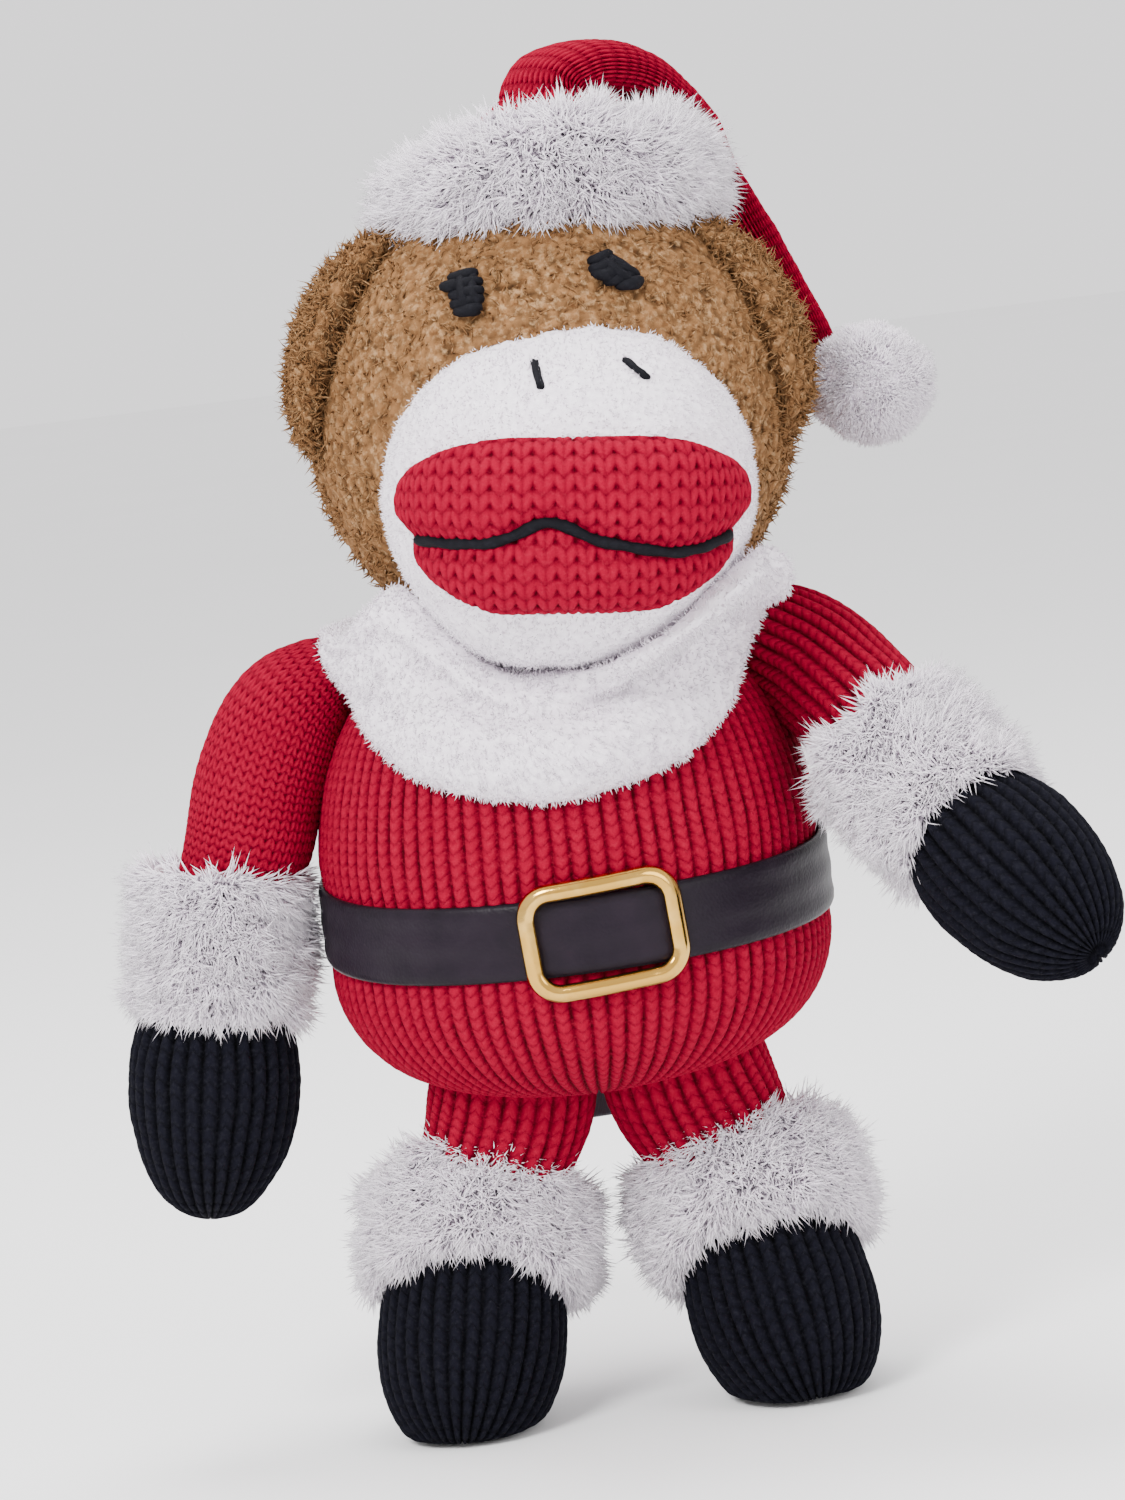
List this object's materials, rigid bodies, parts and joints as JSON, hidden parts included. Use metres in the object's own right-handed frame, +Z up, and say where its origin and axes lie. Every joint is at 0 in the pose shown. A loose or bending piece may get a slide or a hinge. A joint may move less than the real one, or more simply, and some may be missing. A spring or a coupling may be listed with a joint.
{
  "type": "plush monkey",
  "caption": "Stuffed knitted monkey in a red suit, with fur cuffs, a rolled fleece collar, a buckled belt, mittens, boots and a drooping bobble hat.",
  "frame": {"origin": "middle of the footprint's bounding box, on the floor under the boots", "axes": "+Z up from the boots to the hat, +X to the toy's own left, so it faces -Y"},
  "size_m": [0.1945, 0.1306, 0.2688],
  "materials": {
    "red_knit": "rib-knitted acrylic, matte",
    "brown_boucle": "looped boucle knit, matte",
    "white_fleece": "brushed fleece, matte",
    "white_fur": "long-pile fur, matte",
    "black_knit": "rib-knitted acrylic, matte",
    "black_yarn": "embroidery yarn, matte",
    "fibre_filling": "loose polyester fibre",
    "label_satin": "woven satin, soft sheen",
    "belt_vinyl": "grained vinyl, satin",
    "buckle_gold": "metallised, satin gold",
    "plastic_pellets": "small round pellets in a bag"
  },
  "bodies": {
    "torso": {"torso_cover": "red_knit", "torso_filling": "fibre_filling", "seat_pellet_bag": "plastic_pellets", "collar": "white_fleece", "belt": "belt_vinyl", "belt_buckle": "buckle_gold", "care_label": "label_satin"},
    "neck": {"neck_wad": "fibre_filling"},
    "head": {"head_cover": "brown_boucle", "head_filling": "fibre_filling", "muzzle_cover": "white_fleece", "muzzle_filling": "fibre_filling", "mouth_patch": "red_knit", "mouth_yarn": "black_yarn", "right_eye": "black_yarn", "left_eye": "black_yarn", "right_nostril": "black_yarn", "left_nostril": "black_yarn", "hat_brim": "white_fur", "hat_crown": "red_knit"},
    "right_ear": {"right_ear": "brown_boucle"},
    "left_ear": {"left_ear": "brown_boucle"},
    "hat_tail": {"hat_tail": "red_knit", "hat_pompom": "white_fur"},
    "right_shoulder": {"right_shoulder_wad": "fibre_filling"},
    "right_arm": {"right_sleeve": "red_knit", "right_sleeve_filling": "fibre_filling"},
    "right_hand": {"right_arm_cuff": "white_fur", "right_mitten": "black_knit", "right_mitten_filling": "fibre_filling"},
    "right_leg": {"right_trouser_leg": "red_knit", "right_leg_filling": "fibre_filling"},
    "right_foot": {"right_leg_cuff": "white_fur", "right_boot": "black_knit", "right_boot_pellets": "plastic_pellets"},
    "left_shoulder": {"left_shoulder_wad": "fibre_filling"},
    "left_arm": {"left_sleeve": "red_knit", "left_sleeve_filling": "fibre_filling"},
    "left_hand": {"left_arm_cuff": "white_fur", "left_mitten": "black_knit", "left_mitten_filling": "fibre_filling"},
    "left_leg": {"left_trouser_leg": "red_knit", "left_leg_filling": "fibre_filling"},
    "left_foot": {"left_leg_cuff": "white_fur", "left_boot": "black_knit", "left_boot_pellets": "plastic_pellets"}
  },
  "joints": [
    {"name": "neck_turn", "type": "hinge", "parent": "torso", "child": "neck", "pos_m": [0.0018, 0.0142, 0.15], "axis": [0, 0, 1], "range_deg": [-20, 20]},
    {"name": "head_nod", "type": "hinge", "parent": "neck", "child": "head", "pos_m": [0.0018, 0.0142, 0.165], "axis": [1, 0, 0], "range_deg": [-8, 3]},
    {"name": "right_ear_flop", "type": "hinge", "parent": "head", "child": "right_ear", "pos_m": [-0.0362, -0.0098, 0.2155], "axis": [0.3908, 0, 0.9205], "range_deg": [0, 25], "stiffness_Nm_per_rad": 0.004},
    {"name": "left_ear_flop", "type": "hinge", "parent": "head", "child": "left_ear", "pos_m": [0.0423, -0.0098, 0.206], "axis": [0.174, 0, -0.9848], "range_deg": [0, 25], "stiffness_Nm_per_rad": 0.004},
    {"name": "hat_tail_lift", "type": "hinge", "parent": "head", "child": "hat_tail", "pos_m": [0.022, 0.024, 0.2674], "axis": [0.6174, -0.7867, 0], "range_deg": [0, 80]},
    {"name": "right_arm_swing", "type": "hinge", "parent": "torso", "child": "right_shoulder", "pos_m": [-0.0562, 0.0122, 0.146], "axis": [-1, 0, 0], "range_deg": [-30, 90]},
    {"name": "right_arm_raise", "type": "hinge", "parent": "right_shoulder", "child": "right_arm", "pos_m": [-0.0562, 0.0122, 0.146], "axis": [0, 1, 0], "range_deg": [0, 80]},
    {"name": "right_wrist_bend", "type": "hinge", "parent": "right_arm", "child": "right_hand", "pos_m": [-0.0752, 0.0122, 0.11], "axis": [-1, 0, 0], "range_deg": [-15, 15]},
    {"name": "left_arm_swing", "type": "hinge", "parent": "torso", "child": "left_shoulder", "pos_m": [0.0453, 0.0102, 0.146], "axis": [-1, 0, 0], "range_deg": [-15, 45]},
    {"name": "left_arm_raise", "type": "hinge", "parent": "left_shoulder", "child": "left_arm", "pos_m": [0.0453, 0.0102, 0.146], "axis": [0, -1, 0], "range_deg": [0, 63]},
    {"name": "left_wrist_bend", "type": "hinge", "parent": "left_arm", "child": "left_hand", "pos_m": [0.0608, -0.0118, 0.125], "axis": [-0.7581, -0.6521, 0], "range_deg": [-20, 20]},
    {"name": "right_leg_swing", "type": "hinge", "parent": "torso", "child": "right_leg", "pos_m": [-0.0222, 0.0172, 0.0632], "axis": [-1, 0, 0], "range_deg": [-10, 18]},
    {"name": "right_ankle_bend", "type": "hinge", "parent": "right_leg", "child": "right_foot", "pos_m": [-0.0315, 0.0202, 0.0425], "axis": [-1, 0, 0], "range_deg": [-15, 8]},
    {"name": "left_leg_swing", "type": "hinge", "parent": "torso", "child": "left_leg", "pos_m": [0.0118, 0.0172, 0.0632], "axis": [-1, 0, 0], "range_deg": [-10, 18]},
    {"name": "left_ankle_bend", "type": "hinge", "parent": "left_leg", "child": "left_foot", "pos_m": [0.0211, 0.0202, 0.0425], "axis": [-1, 0, 0], "range_deg": [-15, 8]}
  ]
}
